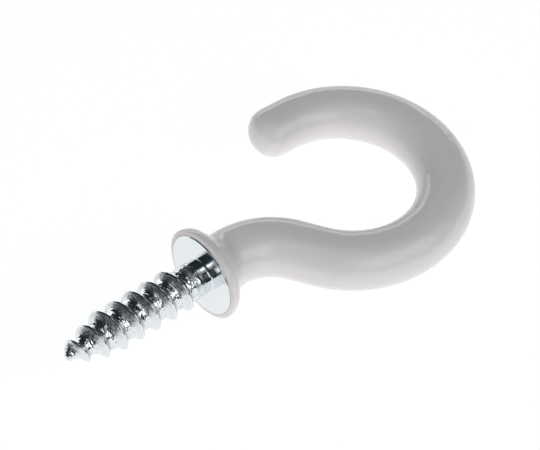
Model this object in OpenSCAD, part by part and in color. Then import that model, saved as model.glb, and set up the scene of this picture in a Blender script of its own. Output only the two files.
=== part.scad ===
// Shouldered screw hook: a bent steel wire with a wood screw thread and a collar,
// dipped in white plastic from the collar to the tip of the hook.
// The middle of the collar's bearing face is the origin and the screw points along -X.
// The hook lies flat in the XY plane, with its tip on the +Y side.

/* [Wire] */
// Diameter of the steel wire, which is also the plain shank of the screw
wire_d = 3.7; // [2.5:0.1:5]
// Length of the straight neck, from the bearing face to the first bend
neck_len = 3.8; // [3:0.1:10]
// Radius of the first bend, to the middle of the wire
neck_bend_r = 6.8; // [5:0.1:12]
// Length of the straight wire between the first bend and the hook
slant_len = 2.6; // [0.5:0.1:8]
// Radius of the hook, to the middle of the wire
hook_r = 10.05; // [8:0.05:20]
// Distance of the hook's centre from the screw's axis, towards the tip
hook_offset = 0.25; // [0:0.05:3]
// Angle of the hook from its far end to where the tip straightens
tip_angle = 87; // [45:1:110]
// Length of the straight coat at the tip, before it rounds over
tip_len = 1.8; // [1:0.1:6]
// Chamfer on the end of the wire
wire_chamfer = 0.4; // [0.2:0.1:0.8]

/* [Collar] */
// Diameter of the steel collar
collar_d = 8.7; // [7.5:0.1:12]
// Thickness of the steel collar
collar_t = 0.9; // [0.6:0.05:1.5]
// Bevel round the bearing face, which the coat stops behind
collar_bevel = 0.12; // [0.05:0.01:0.25]
// Bevel in the corner between the shank and the bearing face
shank_bevel = 0.15; // [0.05:0.01:0.3]

/* [Coat] */
// Thickness of the coat on the neck and the hook
coat_t = 1.15; // [0.5:0.05:2]
// Thickness of the coat on the sides of the tip
tip_coat_t = 0.75; // [0.4:0.05:2]
// Thickness of the coat over the end of the wire
tip_cover_t = 1.5; // [0.8:0.05:1.7]
// Length of the rounded end of the coat
tip_dome_len = 2.3; // [1.8:0.1:3]
// Angle before the hook's far end at which the coat starts to thin towards the tip
taper_angle = 60; // [0:1:80]
// Thickness of the coat on the rim of the collar
rim_coat_t = 0.55; // [0.3:0.05:1]
// Thickness of the coat on the back of the collar
back_coat_t = 0.3; // [0.2:0.05:0.8]
// Width of the coat's front edge round the collar
lip_w = 0.12; // [0.05:0.01:0.25]
// Distance from the coat's front edge back to the widest place of the rim
rim_peak = 0.15; // [0.1:0.05:0.4]
// Length of the flare between the back of the rim and the neck
flare_len = 1.6; // [0.4:0.1:1.7]

/* [Screw] */
// Length of the screw from the bearing face to its point
screw_len = 17; // [12:0.1:30]
// Length of the plain shank next to the collar
shank_len = 1.9; // [1.5:0.1:6]
// Length of the cone between the plain shank and the root of the thread
shank_cone_len = 0.4; // [0.3:0.1:2]
// Depth of the thread's root below the surface of the shank
root_cut = 0.12; // [0.05:0.01:0.5]
// Height of the thread's ridge above its root
ridge_h = 0.68; // [0.3:0.01:1.2]
// Pitch of the thread
thread_pitch = 2.05; // [1.8:0.05:3]
// Width of the ridge at its crest
ridge_crest_w = 0.2; // [0.1:0.05:0.3]
// Width of the ridge's hollow flank, on the side of the point
hollow_flank_w = 0.95; // [0.4:0.05:1]
// Width of the ridge's steep flank, on the side of the collar
steep_flank_w = 0.5; // [0.3:0.05:0.5]
// Length of the tapered point
point_len = 4.8; // [3:0.1:8]
// Diameter of the blunt end of the point
point_d = 1.1; // [0.6:0.1:1.5]
// Angle of the thread's crest round the screw at the bearing face, from +Y
thread_angle = 351; // [0:1:359]

/* [Hidden] */
$fn = 96;
steel_colour = [0.78, 0.8, 0.82];
coat_colour = [0.95, 0.95, 0.94];

wire_r = wire_d / 2;
arm_r = wire_r + coat_t;
tip_r = wire_r + tip_coat_t;
collar_r = collar_d / 2;

// The slanted wire touches both bends, which sets its angle and the place of the hook
bends_r = neck_bend_r + hook_r;
bends_apart = sqrt(bends_r * bends_r + slant_len * slant_len);
drop = neck_bend_r + hook_offset;
slant_angle = acos(drop / bends_apart) - atan2(slant_len, bends_r);
hook_x = neck_len + sqrt(bends_apart * bends_apart - drop * drop);
hook_start = -90 - slant_angle;
wire_end_len = tip_len + tip_dome_len - tip_cover_t;
bend_draw = 0.02;
bend_overlap = 0.2;
shank_overlap = 0.15;

// Places on the middle line of the wire, as [x, y, heading]
function on_neck(x) = [x, 0, 0];
function on_neck_bend(a) = [neck_len + neck_bend_r * sin(a), neck_bend_r * (cos(a) - 1), -a];
function on_hook(a) = [hook_x + hook_r * cos(a), hook_offset + hook_r * sin(a), a + 90];
function further(p, len) = p + len * [cos(p.z), sin(p.z), 0];

// Faces of a tube through rings of points, closed at both ends
function tube_faces(rings, sides) = concat(
    [[for (j = [0 : sides - 1]) j]],
    [
        for (i = [0 : rings - 2], j = [0 : sides - 1])
            let(
                here = i * sides,
                next = here + sides,
                k = (j + 1) % sides
            )
            each [[here + j, next + j, here + k], [next + j, next + k, here + k]]
    ],
    [[for (j = [sides - 1 : -1 : 0]) (rings - 1) * sides + j]]
);

// Steel: screw, collar and wire in one piece

root_r = wire_r - root_cut;
point_r = point_d / 2;
root_start = shank_len + shank_cone_len;
point_start = screw_len - point_len;

// A cut square to the screw crosses the ridge once, so widths along the screw become angles round it
crest_half = 180 * ridge_crest_w / thread_pitch;
hollow_end = crest_half + 360 * hollow_flank_w / thread_pitch;
steep_end = crest_half + 360 * steep_flank_w / thread_pitch;
hollow_power = 2;
steep_power = 1.2;
rise_turns = 0.25;
fall_turns = 0.5;
turn_steps = 20;
crest_points = 2;
hollow_points = 5;
steep_points = 3;
root_points = 3;

function angles(from, to, count) = [for (i = [0 : count - 1]) from + (to - from) * i / count];

ring_angles = concat(
    angles(-steep_end, -crest_half, steep_points),
    angles(-crest_half, crest_half, crest_points),
    angles(crest_half, hollow_end, hollow_points),
    angles(hollow_end, 360 - steep_end, root_points)
);

// Radius of the screw's root at a depth below the bearing face
function root_r_at(depth) = lookup(depth, [
    [point_start, root_r],
    [screw_len - point_r, point_r],
    [screw_len, point_r / 2],
]);

// The ridge rises from the root next to the shank and sinks in again at the point
function ridge_h_at(depth) =
    let(
        rise = (depth - root_start) / (rise_turns * thread_pitch),
        fall = (screw_len - depth) / (fall_turns * thread_pitch)
    )
    ridge_h * max(0, min(1, rise, fall));

// Height of the ridge at an angle from the middle of its crest, as a share of the full height
function ridge_share(a) =
    a > 0
        ? pow(max(0, min(1, (hollow_end - a) / (hollow_end - crest_half))), hollow_power)
        : pow(max(0, min(1, (steep_end + a) / (steep_end - crest_half))), steep_power);

module thread() {
    depth_step = thread_pitch / turn_steps;
    from = shank_len - depth_step;
    rings = ceil((screw_len - from) / depth_step);
    points = [
        for (i = [0 : rings])
            let(
                depth = screw_len - (screw_len - from) * i / rings,
                turned = thread_angle - 360 * depth / thread_pitch
            )
            for (a = ring_angles)
                let(r = root_r_at(depth) + ridge_h_at(depth) * ridge_share(a))
                [-depth, r * cos(a + turned), r * sin(a + turned)]
    ];
    polyhedron(points, tube_faces(rings + 1, len(ring_angles)), convexity = 10);
}

// Collar and plain shank, turned about the X axis
module shank_and_collar() {
    rotate([0, 90, 0])
        rotate_extrude()
            polygon([
                [0, -root_start],
                [root_r - shank_overlap, -root_start],
                [wire_r, -shank_len],
                [wire_r, -shank_bevel],
                [wire_r + shank_bevel, 0],
                [collar_r - collar_bevel, 0],
                [collar_r, collar_bevel],
                [collar_r, collar_t],
                [0, collar_t],
            ]);
}

module straight_wire(from, length, chamfer) {
    translate([from.x, from.y, 0])
        rotate([0, 90, from.z])
            rotate_extrude()
                polygon([
                    [0, 0],
                    [wire_r, 0],
                    [wire_r, length - chamfer],
                    [wire_r - chamfer, length],
                    [0, length],
                ]);
}

// A bend is drawn a little thinner than the straight wire, and its ends run on inside that
module bent_wire(centre, radius, from, sweep) {
    overlap = bend_overlap / radius * 180 / PI;
    translate(centre)
        rotate_extrude(angle = sweep + 2 * overlap, start = from - overlap)
            translate([radius, 0])
                circle(r = wire_r - bend_draw);
}

// The wire from the collar to its end, with no thread
module wire() {
    straight_wire(on_neck(collar_t / 2), neck_len - collar_t / 2, 0);
    bent_wire([neck_len, -neck_bend_r], neck_bend_r, 90 - slant_angle, slant_angle);
    straight_wire(on_neck_bend(slant_angle), slant_len, 0);
    bent_wire([hook_x, hook_offset], hook_r, hook_start, tip_angle - hook_start);
    straight_wire(on_hook(tip_angle), wire_end_len, wire_chamfer);
}

module steel_hook() {
    color(steel_colour) {
        shank_and_collar();
        thread();
        wire();
    }
}

// Plastic coat: rings along the wire, as a place on the middle line and a radius

coat_sides = 36;
arc_step = 6;
round_step = 18;
dome_last_angle = 85;
taper_power = 1.5;
rim_r = collar_r + rim_coat_t;
rim_back = collar_t + back_coat_t;
rim_widest = collar_bevel + rim_peak;
lip_r = collar_r + lip_w;
flare_h = lip_r - arm_r;
flare_power = 1.15;
flare_steps = 5;

// Radius of the coat on the hook, which thins towards the tip
function arm_r_at(a) =
    let(t = max(0, (a + taper_angle) / (tip_angle + taper_angle)))
    arm_r - (arm_r - tip_r) * pow(t, taper_power);

// The rim of the coat bulges round the edge of the collar, then flares down from its back to the neck
rim_rings = [
    for (a = [0 : round_step : 180])
        let(half = a < 90 ? rim_peak : rim_back - rim_widest)
        [on_neck(rim_widest - half * cos(a)), lip_r + (rim_r - lip_r) * sin(a)]
];
flare_rings = [
    for (i = [1 : flare_steps])
        let(t = i / flare_steps)
        [on_neck(rim_back + flare_len * t), arm_r + flare_h * pow(1 - t, flare_power)]
];
neck_steps = ceil(slant_angle / arc_step);
neck_rings = [
    for (i = [0 : neck_steps])
        [on_neck_bend(slant_angle * i / neck_steps), arm_r]
];
hook_steps = ceil((tip_angle - hook_start) / arc_step);
hook_rings = [
    for (i = [0 : hook_steps])
        let(a = hook_start + (tip_angle - hook_start) * i / hook_steps)
        [on_hook(a), arm_r_at(a)]
];
dome_start = further(on_hook(tip_angle), tip_len);
dome_angles = [each [0 : round_step : 90 - round_step], dome_last_angle];
dome_rings = [
    for (a = dome_angles)
        [further(dome_start, tip_dome_len * sin(a)), tip_r * cos(a)]
];
coat_rings = concat(rim_rings, flare_rings, neck_rings, hook_rings, dome_rings);

// Points of one ring, square to the middle line
function ring_points(place, radius) = [
    for (j = [0 : coat_sides - 1])
        let(
            a = 360 * j / coat_sides,
            side = radius * cos(a)
        )
        [place.x - side * sin(place.z), place.y + side * cos(place.z), radius * sin(a)]
];

module coat_skin() {
    polyhedron(
        [for (ring = coat_rings) each ring_points(ring[0], ring[1])],
        tube_faces(len(coat_rings), coat_sides),
        convexity = 10
    );
}

module plastic_coat() {
    color(coat_colour)
        difference() {
            coat_skin();
            shank_and_collar();
            wire();
        }
}

steel_hook();
plastic_coat();
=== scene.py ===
"""A shouldered screw hook, zinc-plated and dipped in white plastic, lying on a white table."""

import logging
import math
from dataclasses import dataclass, field
from enum import Enum

import bmesh
import bpy
from mathutils import Matrix, Vector, noise


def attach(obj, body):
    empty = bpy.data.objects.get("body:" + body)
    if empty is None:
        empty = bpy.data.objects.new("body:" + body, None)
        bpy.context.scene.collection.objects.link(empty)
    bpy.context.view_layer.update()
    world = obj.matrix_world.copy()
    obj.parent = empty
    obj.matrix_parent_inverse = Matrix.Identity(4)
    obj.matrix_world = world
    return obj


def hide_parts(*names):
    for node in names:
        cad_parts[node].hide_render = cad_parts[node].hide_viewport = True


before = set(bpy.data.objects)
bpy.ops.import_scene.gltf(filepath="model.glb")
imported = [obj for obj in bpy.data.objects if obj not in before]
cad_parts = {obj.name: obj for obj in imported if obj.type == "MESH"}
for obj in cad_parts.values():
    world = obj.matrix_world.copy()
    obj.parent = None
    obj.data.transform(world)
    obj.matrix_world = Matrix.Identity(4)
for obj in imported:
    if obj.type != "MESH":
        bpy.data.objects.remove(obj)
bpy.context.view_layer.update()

MM = 0.001
Colour = tuple[float, float, float]
Span = tuple[float, float]
Socket = bpy.types.NodeSocket

# Range that most of a noise pattern's values lie in
NOISE_SPAN: Span = (0.3, 0.7)

# Sockets of Blender's Mix node, whose names repeat
MIX_NUMBERS = (2, 3)
MIX_COLOURS = (6, 7)
MIX_COLOUR_OUT = 2

log = logging.getLogger("screw_hook")


def clamp(value: float) -> float:
    """Holds a value between 0 and 1."""
    return max(0.0, min(1.0, value))


class Slot(Enum):
    """Material slots of the record that the pieces take their finish from."""

    ZINC = "zinc_steel"
    PLASTIC = "white_plastic"


class Node(Enum):
    """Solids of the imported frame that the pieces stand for."""

    STEEL = "steel_hook"
    COAT = "plastic_coat"


class Way(Enum):
    """Direction in which a tube follows the wire."""

    TO_TIP = 1
    TO_COLLAR = -1


class Tube:
    """A closed tube, in millimetres, that grows ring by ring from a first capped circle."""

    def __init__(self, sides: int) -> None:
        """Makes an empty tube.

        Args:
            sides: Number of points in each ring.
        """
        self.mesh = bmesh.new()
        self.core = self.mesh.verts.layers.float.new("core")
        self.flank = self.mesh.verts.layers.float.new("flank")
        # Layer for painted shade: a darker line along the steep edge of each crest
        self.painted_crest_shade = self.mesh.verts.layers.float.new("painted_crest_shade")
        self.sides = sides
        self.ring: list[bmesh.types.BMVert] = []
        self.edges: list[bmesh.types.BMEdge] = []
        self.middle = Vector()
        self.heading = 0.0
        self.radius = 0.0

    def start(self, middle: Vector, heading: float, radius: float) -> None:
        """Begins the tube with a capped circle.

        Args:
            middle: Middle of the circle.
            heading: Angle of the tube's direction from +X towards +Y, in radians.
            radius: Radius of the circle.
        """
        upright = Matrix.Rotation(math.pi / 2, 4, "Y")
        place = Matrix.Translation(middle) @ Matrix.Rotation(heading, 4, "Z") @ upright
        made = bmesh.ops.create_circle(
            self.mesh, cap_ends=True, segments=self.sides, radius=radius, matrix=place
        )
        self.ring = made["verts"]
        self.edges = list(dict.fromkeys(edge for vert in self.ring for edge in vert.link_edges))
        self.middle = middle.copy()
        self.heading = heading
        self.radius = radius

    def take(self, made: list) -> None:
        """Makes new points, and the edges between them, the last ring.

        Args:
            made: Geometry that an operator returned.
        """
        self.ring = [part for part in made if isinstance(part, bmesh.types.BMVert)]
        ring = set(self.ring)
        edges = [part for part in made if isinstance(part, bmesh.types.BMEdge)]
        self.edges = [edge for edge in edges if set(edge.verts) <= ring]

    def extrude(self) -> None:
        """Extrudes the last ring in place, so that the new ring can be moved."""
        self.take(bmesh.ops.extrude_edge_only(self.mesh, edges=self.edges)["geom"])

    def widen(self, radius: float) -> None:
        """Scales the last ring about its middle.

        Args:
            radius: New radius of the ring.
        """
        share = radius / self.radius
        bmesh.ops.scale(
            self.mesh,
            vec=(share, share, share),
            space=Matrix.Translation(-self.middle),
            verts=self.ring,
        )
        self.radius = radius

    def along(self, length: float, radius: float | None = None) -> None:
        """Grows the tube straight on by one ring.

        Args:
            length: Distance along the heading; a negative one goes back.
            radius: Radius of the new ring, or None to keep the last one.
        """
        self.extrude()
        step = Matrix.Rotation(self.heading, 3, "Z") @ Vector((length, 0, 0))
        bmesh.ops.translate(self.mesh, vec=step, verts=self.ring)
        self.middle += step
        if radius is not None:
            self.widen(radius)

    def spin(
        self, centre: Vector, axis: str, angle: float, steps: int, lift: float = 0.0
    ) -> list[bmesh.types.BMVert]:
        """Grows many rings at once round an axis.

        Args:
            centre: Centre of the turn.
            axis: Axis of the turn, X or Z.
            angle: Whole turn, in radians.
            steps: Number of rings.
            lift: Whole distance along X, which makes the turn a screw.

        Returns:
            The points of the new rings.
        """
        old = set(self.mesh.verts)
        made = bmesh.ops.spin(
            self.mesh,
            geom=self.ring + self.edges,
            cent=centre,
            axis=(1, 0, 0) if axis == "X" else (0, 0, 1),
            dvec=(lift / steps, 0, 0),
            angle=angle,
            steps=steps,
        )["geom_last"]
        self.take(made)
        turn = Matrix.Rotation(angle, 3, axis)
        self.middle = centre + turn @ (self.middle - centre) + Vector((lift, 0, 0))
        if axis == "Z":
            self.heading += angle
        return [vert for vert in self.mesh.verts if vert not in old]

    def to(self, x: float, radius: float) -> None:
        """Grows a tube that lies on the X axis to a place and radius by one ring."""
        self.along(x - self.middle.x, radius)

    def close(self) -> None:
        """Ends the tube in a pole at the middle of the last ring."""
        bmesh.ops.pointmerge(self.mesh, verts=self.ring, merge_co=self.middle)

    def cap(self) -> None:
        """Ends the tube with a flat face."""
        bmesh.ops.edgeloop_fill(self.mesh, edges=self.edges)

    def piece(self, name: str) -> bpy.types.Object:
        """Makes the tube an object in metres, with its faces outwards and smooth.

        Args:
            name: Name of the piece.

        Returns:
            The linked object, at the origin.
        """
        bmesh.ops.recalc_face_normals(self.mesh, faces=self.mesh.faces)
        bmesh.ops.scale(self.mesh, vec=(MM, MM, MM), verts=self.mesh.verts)
        for face in self.mesh.faces:
            face.smooth = True
        data = bpy.data.meshes.new(name)
        self.mesh.to_mesh(data)
        self.mesh.free()
        made = bpy.data.objects.new(name, data)
        bpy.context.scene.collection.objects.link(made)
        return made


class Recipe:
    """Adds nodes to a node tree and joins them."""

    def __init__(self, tree: bpy.types.NodeTree) -> None:
        """Empties a node tree.

        Args:
            tree: Tree of a material or a world.
        """
        self.tree = tree
        tree.nodes.clear()

    def add(self, kind: str, inputs: dict | None = None, **settings: object) -> bpy.types.Node:
        """Adds one node.

        Args:
            kind: Blender's type of the node, without its ShaderNode prefix.
            inputs: Value or source socket for each named or numbered input.
            **settings: Properties of the node itself.

        Returns:
            The new node.
        """
        node = self.tree.nodes.new("ShaderNode" + kind)
        for key, value in settings.items():
            setattr(node, key, value)
        for key, value in (inputs or {}).items():
            if isinstance(value, Socket):
                self.tree.links.new(value, node.inputs[key])
            else:
                node.inputs[key].default_value = value
        return node

    def layer(self, name: str) -> Socket:
        """Reads one of the mesh's own layers."""
        return self.add("Attribute", attribute_name=name).outputs["Fac"]

    def noise(self, place: Socket, size: float, detail: float) -> Socket:
        """Adds a noise pattern.

        Args:
            place: Coordinates of the pattern, in metres.
            size: Usual size of a blotch, in millimetres.
            detail: Number of finer layers.

        Returns:
            The pattern's grey value.
        """
        inputs = {"Vector": place, "Scale": 1 / (size * MM), "Detail": detail}
        return self.add("TexNoise", inputs).outputs[0]

    def spread(self, source: Socket, given: Span, wanted: Span) -> Socket:
        """Maps one range of values to another.

        Args:
            source: Value to map.
            given: Range of the value.
            wanted: Range it becomes.

        Returns:
            The mapped value.
        """
        inputs = {"Value": source, "From Min": given[0], "From Max": given[1]}
        inputs |= {"To Min": wanted[0], "To Max": wanted[1]}
        return self.add("MapRange", inputs).outputs[0]

    def blend(self, share: Socket, first: Socket, second: Socket) -> Socket:
        """Blends two values.

        Args:
            share: Share of the second value.
            first: First value.
            second: Second value.

        Returns:
            The blended value.
        """
        inputs = {"Factor": share, MIX_NUMBERS[0]: first, MIX_NUMBERS[1]: second}
        return self.add("Mix", inputs).outputs[0]

    def tint(self, share: Socket, first: Colour, second: Colour) -> Socket:
        """Blends two colours.

        Args:
            share: Share of the second colour.
            first: First colour, red, green and blue.
            second: Second colour.

        Returns:
            The blended colour.
        """
        made = self.add("Mix", {"Factor": share}, data_type="RGBA")
        for number, colour in zip(MIX_COLOURS, (first, second)):
            made.inputs[number].default_value = (*colour, 1)
        return made.outputs[MIX_COLOUR_OUT]

    def bump(
        self, height: Socket, depth: float, strength: Socket | float, below: Socket | None = None
    ) -> Socket:
        """Adds a fine relief.

        Args:
            height: Pattern of the relief.
            depth: Depth of the relief, in millimetres.
            strength: How much of it shows, from 0 to 1.
            below: Relief that it lies on, or None for the bare surface.

        Returns:
            The direction that the surface faces.
        """
        inputs = {"Strength": strength, "Distance": depth * MM, "Height": height}
        if below is not None:
            inputs["Normal"] = below
        return self.add("Bump", inputs).outputs[0]


def empty_material(name: str) -> tuple[bpy.types.Material, Recipe]:
    """Makes a material without nodes.

    Args:
        name: Name of the material.

    Returns:
        The material and the recipe that fills it.
    """
    made = bpy.data.materials.new(name)
    made.use_nodes = True
    return made, Recipe(made.node_tree)


@dataclass(frozen=True)
class ZincPlate:
    """Bright zinc plate, smooth on the collar, faceted on the thread's core, satin on its flanks.

    Sizes and depths are in millimetres.
    """

    bright: Colour = (0.79, 0.83, 0.85)
    # Dull zinc for random patches on the core, also used as painted shade along each crest's
    # steep edge
    dull_and_shade: Colour = (0.40, 0.45, 0.47)
    smooth_rough: Span = (0.09, 0.15)
    flank_rough: Span = (0.28, 0.46)
    squeeze: tuple[float, float, float] = (2.2, 0.9, 0.9)
    blotch_size: float = 0.9
    thin_spot_size: float = 0.5
    thin_spot_span: Span = (0.30, 0.46)
    thin_spot_shade: float = 0.8
    facet_size: float = 0.54
    facet_depth: float = 0.13
    grain_size: float = 0.25
    grain_span: Span = (0.5, 0.66)
    grain_depth: float = 0.015

    def material(self) -> bpy.types.Material:
        """Makes the finish.

        Returns:
            Its material.
        """
        made, use = empty_material("zinc_plate")
        place = use.add("TexCoord").outputs["Object"]
        squeezed = use.add("Mapping", {"Vector": place, "Scale": self.squeeze}).outputs[0]
        core, flank, painted_crest_shade = map(use.layer, ("core", "flank", "painted_crest_shade"))
        blotches = use.noise(place, self.blotch_size, detail=3)
        patches = use.noise(squeezed, self.thin_spot_size, detail=3)
        facets = use.noise(squeezed, self.facet_size, detail=1)
        specks = use.noise(squeezed, self.grain_size, detail=1)
        smooth = use.spread(blotches, NOISE_SPAN, self.smooth_rough)
        satin = use.spread(specks, NOISE_SPAN, self.flank_rough)
        grains = use.spread(specks, self.grain_span, (0, 1))
        thin = use.spread(patches, self.thin_spot_span, (self.thin_spot_shade, 0))
        spots = use.add("Math", {0: thin, 1: core}, operation="MULTIPLY").outputs[0]
        # Darker where the random dull patches lie, and painted shade along each crest's steep
        # edge
        shade = use.add("Math", {0: spots, 1: painted_crest_shade}, operation="MAXIMUM").outputs[0]
        relief = use.bump(facets, self.facet_depth, core)
        shader = use.add(
            "BsdfPrincipled",
            {
                "Base Color": use.tint(shade, self.bright, self.dull_and_shade),
                "Metallic": 1.0,
                "Roughness": use.blend(flank, smooth, satin),
                "Normal": use.bump(grains, self.grain_depth, flank, relief),
            },
        )
        use.add("OutputMaterial", {"Surface": shader.outputs[0]})
        return made


@dataclass(frozen=True)
class DippedPlastic:
    """Glossy white plastic, with the slight waves that a dipped coat sets with.

    Sizes and depths are in millimetres.
    """

    light: Colour = (0.91, 0.883, 0.876)
    shaded: Colour = (0.89, 0.863, 0.856)
    gloss: Span = (0.13, 0.22)
    ior: float = 1.5
    cloud_size: float = 6.0
    cloud_span: Span = (0.35, 0.65)
    wave_size: float = 2.6
    wave_depth: float = 0.25
    wave_strength: float = 0.45
    peel_size: float = 0.5
    peel_depth: float = 0.02
    peel_strength: float = 0.05

    def material(self) -> bpy.types.Material:
        """Makes the finish.

        Returns:
            Its material.
        """
        made, use = empty_material("dipped_plastic")
        place = use.add("TexCoord").outputs["Object"]
        clouds = use.noise(place, self.cloud_size, detail=2)
        waves = use.noise(place, self.wave_size, detail=1)
        peel = use.noise(place, self.peel_size, detail=2)
        shade = use.spread(clouds, self.cloud_span, (0, 1))
        wavy = use.bump(waves, self.wave_depth, self.wave_strength)
        shader = use.add(
            "BsdfPrincipled",
            {
                "Base Color": use.tint(shade, self.light, self.shaded),
                "Roughness": use.spread(clouds, NOISE_SPAN, self.gloss),
                "IOR": self.ior,
                "Normal": use.bump(peel, self.peel_depth, self.peel_strength, wavy),
            },
        )
        use.add("OutputMaterial", {"Surface": shader.outputs[0]})
        return made


@dataclass(frozen=True)
class WhiteTable:
    """Evenly bright white table, which still takes a faint shadow."""

    glow: float = 1.16
    colour: Colour = (0.85, 0.85, 0.85)
    matt_share: float = 0.2

    def material(self) -> bpy.types.Material:
        """Makes the finish.

        Returns:
            Its material.
        """
        made, use = empty_material("white_table")
        bright = use.add("Emission", {"Color": (1, 1, 1, 1), "Strength": self.glow})
        matt = use.add("BsdfDiffuse", {"Color": (*self.colour, 1)})
        lit = use.add("MixShader", {0: self.matt_share, 1: bright.outputs[0], 2: matt.outputs[0]})
        use.add("OutputMaterial", {"Surface": lit.outputs[0]})
        return made


@dataclass
class WireLine:
    """Middle line of the bent wire, in millimetres from the middle of the bearing face."""

    neck_len: float = 3.8
    neck_bend_r: float = 6.8
    slant_len: float = 2.6
    hook_r: float = 10.05
    hook_offset: float = 0.25
    tip_angle: float = math.radians(87)
    slant_angle: float = field(init=False)
    hook_start: float = field(init=False)
    neck_centre: Vector = field(init=False)
    hook_centre: Vector = field(init=False)

    def __post_init__(self) -> None:
        """Works out the slanted wire, which touches both bends."""
        bends_r = self.neck_bend_r + self.hook_r
        apart = math.hypot(bends_r, self.slant_len)
        drop = self.neck_bend_r + self.hook_offset
        self.slant_angle = math.acos(drop / apart) - math.atan2(self.slant_len, bends_r)
        self.hook_start = -math.pi / 2 - self.slant_angle
        hook_x = self.neck_len + math.sqrt(apart**2 - drop**2)
        self.neck_centre = Vector((self.neck_len, -self.neck_bend_r, 0))
        self.hook_centre = Vector((hook_x, self.hook_offset, 0))

    def end(self, further: float) -> tuple[Vector, float]:
        """Gives a place past the end of the hook's bend.

        Args:
            further: Distance past the bend.

        Returns:
            The place and the heading there.
        """
        spoke = Vector((math.cos(self.tip_angle), math.sin(self.tip_angle), 0))
        heading = self.tip_angle + math.pi / 2
        onward = Vector((math.cos(heading), math.sin(heading), 0))
        return self.hook_centre + self.hook_r * spoke + further * onward, heading

    def follow(self, tube: Tube, way: Way, step: float) -> list[bmesh.types.BMVert]:
        """Grows a tube along both bends and the slant between them.

        Args:
            tube: Tube that stands at one end of the bends.
            way: Direction to follow.
            step: Largest angle between rings, in degrees.

        Returns:
            The points of the rings on the hook's bend.
        """
        neck = (self.neck_centre, -self.slant_angle)
        hook = (self.hook_centre, self.tip_angle - self.hook_start)
        rings = []
        for centre, sweep in (neck, hook)[:: way.value]:
            if rings:
                tube.along(way.value * self.slant_len)
            steps = math.ceil(math.degrees(abs(sweep)) / step)
            rings.append(tube.spin(centre, "Z", way.value * sweep, steps))
        return rings[:: way.value][-1]


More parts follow.
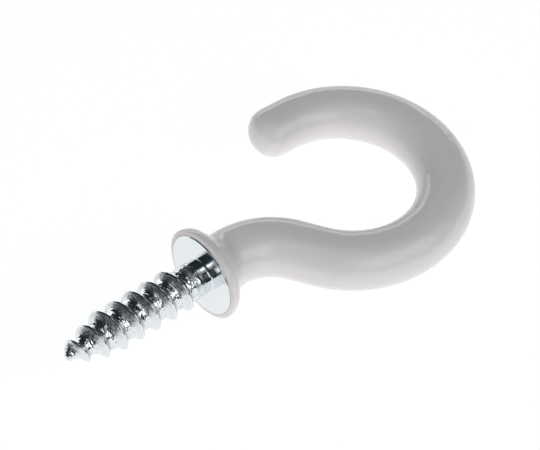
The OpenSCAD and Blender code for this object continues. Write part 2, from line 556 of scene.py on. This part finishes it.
@dataclass
class SteelHook:
    """Screw, collar and wire, in one piece of plated steel.

    Sizes are in millimetres, densities in marks per millimetre and ring_step in degrees.
    """

    line: WireLine
    finish: ZincPlate
    wire_r: float = 1.85
    wire_end_len: float = 2.6
    wire_chamfer: float = 0.4
    collar_r: float = 4.35
    collar_t: float = 0.9
    collar_bevel: float = 0.12
    shank_bevel: float = 0.15
    bevel_steps: int = 6
    edge_guard: float = 0.06
    screw_len: float = 17.0
    shank_len: float = 1.9
    shank_cone_len: float = 0.4
    root_r: float = 1.73
    ridge_h: float = 0.68
    thread_pitch: float = 2.05
    ridge_crest_w: float = 0.24
    crest_round: float = 0.12
    hollow_flank_w: float = 0.95
    hollow_power: float = 2.0
    steep_flank_w: float = 0.5
    steep_power: float = 1.2
    point_len: float = 4.8
    point_r: float = 0.55
    point_blunt: float = 0.06
    thread_angle: float = math.radians(351)
    plain_len: float = 0.6
    faint_ridge_h: float = 0.05
    rise_turns: float = 0.25
    fall_turns: float = 0.5
    # Share of the steep flank's rise above which the painted crest shade begins
    painted_shade_from: float = 0.75
    fade_len: float = 1.2
    flank_gain: float = 3.0
    crest_wear: float = 0.05
    wear_density: float = 1.1
    dents: float = 0.03
    dent_density: float = 2.6
    dented_point_len: float = 1.5
    dented_shank_end: float = 5.2
    dented_shank_fade: float = 2.0
    shank_dents: float = 2.0
    scales: float = 0.08
    scales_along: float = 3.4
    scales_around: float = 1.7
    scale_top: float = 0.6
    least_r: float = 0.1
    sides: int = 96
    turn_steps: int = 48
    ring_step: float = 6.0

    def root_at(self, depth: float) -> float:
        """Gives the radius of the screw's root.

        Args:
            depth: Distance below the bearing face.

        Returns:
            The radius.
        """
        nose = self.screw_len - self.point_r
        if depth > nose:
            share = (depth - nose) / self.point_r
            return self.point_r * math.sqrt(max(self.point_blunt, 1 - share**2))
        share = (depth - self.screw_len + self.point_len) / (self.point_len - self.point_r)
        cone = (self.shank_len + self.shank_cone_len - depth) / self.shank_cone_len
        step = (self.wire_r - self.root_r) * clamp(cone)
        return self.root_r + step - (self.root_r - self.point_r) * max(0.0, share)

    def ridge_at(self, depth: float) -> float:
        """Gives the height of the ridge, which rises at the shank and sinks in at the point.

        Args:
            depth: Distance below the bearing face.

        Returns:
            The height above the root.
        """
        rise_len = self.rise_turns * self.thread_pitch
        rise = (depth - self.shank_len - self.shank_cone_len) / rise_len
        fall = (self.screw_len - depth) / (self.fall_turns * self.thread_pitch)
        faint = self.faint_ridge_h * clamp(depth - self.plain_len)
        return max(faint, self.ridge_h * min(1.0, rise, fall))

    def flank_at(self, turn: float) -> tuple[float, float]:
        """Gives the height of the ridge's flank as a share of the full height.

        Args:
            turn: Angle from the middle of the crest towards the hollow flank, in radians.

        Returns:
            The share, from 0 at the root to 1 on the crest, and how much painted shade the
            crest's steep edge takes there.
        """
        crest = math.pi * self.ridge_crest_w / self.thread_pitch
        hollow = 2 * math.pi * self.hollow_flank_w / self.thread_pitch
        steep = 2 * math.pi * self.steep_flank_w / self.thread_pitch
        turn = (turn + crest + steep) % (2 * math.pi) - crest - steep
        edge = 1 - self.crest_round
        if turn > crest:
            return edge * max(0.0, 1 - (turn - crest) / hollow) ** self.hollow_power, 0.0
        # The crest's steep half and the top of the steep flank take painted shade
        if turn > -crest:
            return 1 - self.crest_round * (turn / crest) ** 2, max(0.0, -turn / crest)
        rise = max(0.0, 1 + (turn + crest) / steep)
        painted_crest_shade = max(0.0, (rise - self.painted_shade_from) / (1 - self.painted_shade_from))
        return edge * rise**self.steep_power, painted_crest_shade

    def thread_radius(self, place: Vector) -> tuple[float, float, float, float]:
        """Gives the radius of the thread's surface, with the dents of rolling and handling.

        Args:
            place: Point at the wanted depth and angle, at any radius.

        Returns:
            The radius, and how far the place is on the core, on a flank and under the painted
            shade of a crest's steep edge, from 0 to 1.
        """
        depth = -place.x
        turned = self.thread_angle - 2 * math.pi * depth / self.thread_pitch
        share, painted_crest_shade = self.flank_at(math.atan2(place.z, place.y) - turned)
        clean_r = self.root_at(depth) + self.ridge_at(depth) * share
        spoke = Vector((0, place.y, place.z)).normalized() * clean_r
        spot = Vector((place.x, spoke.y, spoke.z))
        rolled = clamp((depth - self.plain_len) / self.fade_len)
        near_point = clamp((depth - self.screw_len + self.dented_point_len) / self.fade_len)
        near_shank = rolled * clamp((self.dented_shank_end - depth) / self.dented_shank_fade)
        on_flank = min(1.0, self.flank_gain * share)
        core = rolled * max(near_point, 1 - on_flank)
        flank = rolled * on_flank if share < 1 - self.crest_round else 0.0
        wear = self.crest_wear * rolled * share * noise.noise(spot * self.wear_density)
        dented = core + near_point + self.shank_dents * near_shank
        dent = self.dents * dented * noise.noise(spot * self.dent_density)
        across = (self.scales_around * spoke.y, self.scales_around * spoke.z)
        near, far = noise.voronoi(Vector((self.scales_along * place.x, *across)))[0][:2]
        scale = self.scales * core * min(self.scale_top, far - near)
        radius = max(self.least_r, spoke.length + wear + dent + scale)
        return radius, core, flank, painted_crest_shade * rolled

    def add_screw(self, tube: Tube) -> None:
        """Grows the thread from the point to the shank.

        Args:
            tube: Empty tube.
        """
        tube.start(Vector((-self.screw_len, 0, 0)), 0.0, self.root_at(self.screw_len))
        length = self.screw_len - self.plain_len
        steps = math.ceil(length / self.thread_pitch * self.turn_steps)
        turn = 2 * math.pi * length / self.thread_pitch
        for vert in tube.spin(tube.middle.copy(), "X", turn, steps, length):
            spoke = Vector((0, vert.co.y, vert.co.z)).normalized()
            # The last value is the painted shade along each crest's steep edge
            radius, *wear = self.thread_radius(vert.co)
            vert[tube.core], vert[tube.flank], vert[tube.painted_crest_shade] = wear
            vert.co = Vector((vert.co.x, 0, 0)) + spoke * radius
        tube.radius = self.wire_r

    def add_collar(self, tube: Tube) -> None:
        """Grows the plain shank and the collar.

        Args:
            tube: Tube that has reached the shank.
        """
        guard = self.edge_guard
        turns = [math.pi / 2 * step / self.bevel_steps for step in range(self.bevel_steps + 1)]
        tube.to(-self.shank_bevel - guard, self.wire_r)
        for turn in turns:
            out = self.shank_bevel * (1 - math.cos(turn))
            tube.to(self.shank_bevel * (math.sin(turn) - 1), self.wire_r + out)
        tube.to(0, self.wire_r + self.shank_bevel + guard)
        tube.to(0, self.collar_r - self.collar_bevel - guard)
        for turn in turns:
            out = self.collar_bevel * (math.sin(turn) - 1)
            tube.to(self.collar_bevel * (1 - math.cos(turn)), self.collar_r + out)
        tube.to(self.collar_bevel + guard, self.collar_r)
        tube.to(self.collar_t - guard, self.collar_r)
        tube.to(self.collar_t, self.collar_r - guard)
        tube.to(self.collar_t, self.wire_r + guard)
        tube.to(self.collar_t + guard, self.wire_r)

    def add_wire(self, tube: Tube) -> None:
        """Grows the wire inside the coat, to its chamfered end.

        Args:
            tube: Tube that has passed the collar.
        """
        tube.to(self.line.neck_len, self.wire_r)
        self.line.follow(tube, Way.TO_TIP, self.ring_step)
        tube.along(self.wire_end_len - self.wire_chamfer)
        tube.along(self.wire_chamfer, self.wire_r - self.wire_chamfer)
        tube.cap()

    def build(self) -> bpy.types.Object:
        """Builds and dresses the steel piece.

        Returns:
            The piece, riding on the root.
        """
        tube = Tube(self.sides)
        self.add_screw(tube)
        self.add_collar(tube)
        self.add_wire(tube)
        piece = tube.piece("zinc_screw_and_wire")
        piece.data.materials.append(self.finish.material())
        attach(piece, "root")
        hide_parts(Node.STEEL.value)
        return piece


@dataclass
class PlasticCoat:
    """White coat from the collar's rim to the tip, hollow where the wire runs.

    Sizes are in millimetres and ring_step in degrees.
    """

    line: WireLine
    steel: SteelHook
    finish: DippedPlastic
    arm_r: float = 3.0
    tip_r: float = 2.6
    tip_len: float = 1.8
    tip_dome_len: float = 2.3
    tip_dome_turn: float = math.radians(88)
    taper_angle: float = math.radians(60)
    taper_power: float = 1.5
    rim_r: float = 4.9
    lip_r: float = 4.47
    rim_peak: float = 0.15
    rim_back: float = 1.2
    flare_len: float = 1.6
    flare_power: float = 1.15
    round_steps: int = 14
    sides: int = 96
    ring_step: float = 2.5

    def arm_at(self, angle: float) -> float:
        """Gives the radius of the coat on the hook, which thins towards the tip.

        Args:
            angle: Angle on the hook from its far end, in radians.

        Returns:
            The radius.
        """
        share = (angle + self.taper_angle) / (self.line.tip_angle + self.taper_angle)
        return self.arm_r - (self.arm_r - self.tip_r) * max(0.0, share) ** self.taper_power

    def add_bore(self, tube: Tube) -> None:
        """Grows the inside of the coat, from the wire's end back to the collar's edge.

        Args:
            tube: Empty tube.
        """
        steel = self.steel
        middle, heading = self.line.end(steel.wire_end_len)
        tube.start(middle, heading, steel.wire_r - steel.wire_chamfer)
        tube.along(-steel.wire_chamfer, steel.wire_r)
        tube.along(steel.wire_chamfer - steel.wire_end_len)
        self.line.follow(tube, Way.TO_COLLAR, steel.ring_step)
        tube.to(steel.collar_t, steel.wire_r)
        tube.to(steel.collar_t, steel.collar_r)
        tube.to(steel.collar_bevel, steel.collar_r)

    def add_rim(self, tube: Tube) -> None:
        """Grows the rim round the collar and the flare behind it.

        Args:
            tube: Tube that has reached the collar's front edge.
        """
        widest = self.steel.collar_bevel + self.rim_peak
        for number in range(self.round_steps + 1):
            turn = math.pi * number / self.round_steps
            half = self.rim_peak if turn < math.pi / 2 else self.rim_back - widest
            out = (self.rim_r - self.lip_r) * math.sin(turn)
            tube.to(widest - half * math.cos(turn), self.lip_r + out)
        for number in range(1, self.round_steps + 1):
            share = number / self.round_steps
            height = (self.lip_r - self.arm_r) * (1 - share) ** self.flare_power
            tube.to(self.rim_back + self.flare_len * share, self.arm_r + height)

    def add_arm(self, tube: Tube) -> None:
        """Grows the neck, the hook and the rounded tip.

        Args:
            tube: Tube that has reached the neck.
        """
        tube.to(self.line.neck_len, self.arm_r)
        for vert in self.line.follow(tube, Way.TO_TIP, self.ring_step):
            spoke = (vert.co - self.line.hook_centre) * Vector((1, 1, 0))
            middle = self.line.hook_centre + spoke.normalized() * self.line.hook_r
            share = self.arm_at(math.atan2(spoke.y, spoke.x)) / self.arm_r
            vert.co = middle + (vert.co - middle) * share
        tube.radius = self.tip_r
        tube.along(self.tip_len)
        turn = 0.0
        for number in range(1, self.round_steps + 1):
            last, turn = turn, self.tip_dome_turn * number / self.round_steps
            step = self.tip_dome_len * (math.sin(turn) - math.sin(last))
            tube.along(step, self.tip_r * math.cos(turn))
        tube.close()

    def build(self) -> bpy.types.Object:
        """Builds and dresses the coat.

        Returns:
            The piece, riding on the root.
        """
        tube = Tube(self.sides)
        self.add_bore(tube)
        self.add_rim(tube)
        self.add_arm(tube)
        piece = tube.piece("white_coat")
        piece.data.materials.append(self.finish.material())
        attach(piece, "root")
        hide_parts(Node.COAT.value)
        return piece


@dataclass(frozen=True)
class Softbox:
    """A soft rectangular lamp that faces the hook, at a distance in metres.

    The bearing, from +X towards +Y, the height and the angles that the lamp fills are in degrees.
    A lamp that isn't mirrored gives light, but no highlight.
    """

    name: str
    bearing: float
    height: float
    wide: float
    tall: float
    radiance: float
    distance: float = 0.6
    mirrored: bool = True

    def hang(self, target: Vector) -> bpy.types.Object:
        """Hangs the lamp.

        Args:
            target: Place that it faces, in metres.

        Returns:
            The lamp.
        """
        data = bpy.data.lights.new(self.name, "AREA")
        data.shape = "RECTANGLE"
        data.size = 2 * self.distance * math.tan(math.radians(self.wide / 2))
        data.size_y = 2 * self.distance * math.tan(math.radians(self.tall / 2))
        data.energy = self.radiance * math.pi * data.size * data.size_y
        lamp = bpy.data.objects.new(self.name, data)
        bearing, height = math.radians(self.bearing), math.radians(self.height)
        level = Vector((math.cos(bearing), math.sin(bearing), 0))
        way = level * math.cos(height) + Vector((0, 0, math.sin(height)))
        lamp.location = target + way * self.distance
        lamp.rotation_euler = way.to_track_quat("Z", "Y").to_euler()
        lamp.visible_glossy = self.mirrored
        bpy.context.scene.collection.objects.link(lamp)
        return lamp


@dataclass
class Studio:
    """Table, lamps, surroundings and camera. Lengths are in metres."""

    table: WhiteTable
    lamps: tuple[Softbox, ...]
    tilt: float = math.radians(3.8)
    roll: float = math.radians(0.66)
    table_size: float = 4.0
    table_cells: int = 4
    room: Colour = (0.018, 0.024, 0.028)
    backdrop: Colour = (1, 1, 1)
    camera_place: Vector = field(default_factory=lambda: Vector((-0.1750, -0.1890, 0.2984)))
    camera_aim: Vector = field(default_factory=lambda: Vector((0.00745, -0.00145, 0.00369)))
    focal_px: float = 4000.0
    image_px: float = 540.0

    def up(self) -> Vector:
        """Gives the table's upward direction in the part's frame."""
        return Vector((-math.tan(self.tilt), math.tan(self.roll), 1)).normalized()

    def lay_table(self, pieces: list[bpy.types.Object]) -> bpy.types.Object:
        """Lays the table under the lowest points of the pieces.

        Args:
            pieces: Pieces that rest on the table.

        Returns:
            The table.
        """
        up = self.up()
        lowest = min(vert.co.dot(up) for piece in pieces for vert in piece.data.vertices)
        place = Matrix.Translation(up * lowest) @ up.to_track_quat("Z", "Y").to_matrix().to_4x4()
        mesh = bmesh.new()
        cells, half = self.table_cells, self.table_size / 2
        bmesh.ops.create_grid(mesh, x_segments=cells, y_segments=cells, size=half, matrix=place)
        data = bpy.data.meshes.new("table")
        mesh.to_mesh(data)
        mesh.free()
        data.materials.append(self.table.material())
        made = bpy.data.objects.new("table", data)
        bpy.context.scene.collection.objects.link(made)
        return made

    def light(self) -> None:
        """Hangs the lamps and sets the surroundings, a dim room in front of a white backdrop."""
        for lamp in self.lamps:
            lamp.hang(self.camera_aim)
        world = bpy.data.worlds.new("studio")
        world.use_nodes = True
        use = Recipe(world.node_tree)
        seen = use.add("LightPath").outputs["Is Camera Ray"]
        sky = use.add("Background", {"Color": use.tint(seen, self.room, self.backdrop)})
        use.add("OutputWorld", {"Surface": sky.outputs[0]})
        bpy.context.scene.world = world

    def place_camera(self) -> bpy.types.Object:
        """Sets up the camera at the photograph's angle, level with the table.

        Returns:
            The camera.
        """
        data = bpy.data.cameras.new("camera")
        data.sensor_fit = "HORIZONTAL"
        data.lens = data.sensor_width * self.focal_px / self.image_px
        camera = bpy.data.objects.new("camera", data)
        back = (self.camera_place - self.camera_aim).normalized()
        side = self.up().cross(back).normalized()
        turn = Matrix((side, back.cross(side), back)).transposed()
        camera.matrix_world = Matrix.Translation(self.camera_place) @ turn.to_4x4()
        bpy.context.scene.collection.objects.link(camera)
        bpy.context.scene.camera = camera
        return camera


def main() -> None:
    """Builds the hook and its studio, and reports each piece."""
    logging.basicConfig(level=logging.INFO, format="%(name)s: %(message)s")
    line = WireLine()
    steel = SteelHook(line, ZincPlate())
    coat = PlasticCoat(line, steel, DippedPlastic())
    pieces = []
    for part in (steel, coat):
        piece = part.build()
        pieces.append(piece)
        log.info("%s: %d faces", piece.name, len(piece.data.polygons))
    front = {"bearing": -135, "height": 68, "wide": 50, "tall": 30}
    side = {"bearing": 180, "height": 37, "wide": 44, "tall": 24}
    studio = Studio(
        WhiteTable(),
        (
            Softbox("key_softbox", bearing=-80, height=38, wide=60, tall=34, radiance=1.6),
            Softbox("back_softbox", bearing=58, height=8, wide=76, tall=16, radiance=2.0),
            Softbox("left_softbox", bearing=-172, height=64, wide=14, tall=10, radiance=1.4),
            Softbox("front_softbox", **front, radiance=0.4),
            Softbox("front_fill", **front, radiance=0.85, mirrored=False),
            Softbox("side_fill", **side, radiance=1.45, mirrored=False),
        ),
    )
    table = studio.lay_table(pieces)
    log.info("%s: %d faces", table.name, len(table.data.polygons))
    studio.light()
    studio.place_camera()
    bpy.context.scene.view_settings.view_transform = "Standard"


if __name__ == "__main__":
    main()
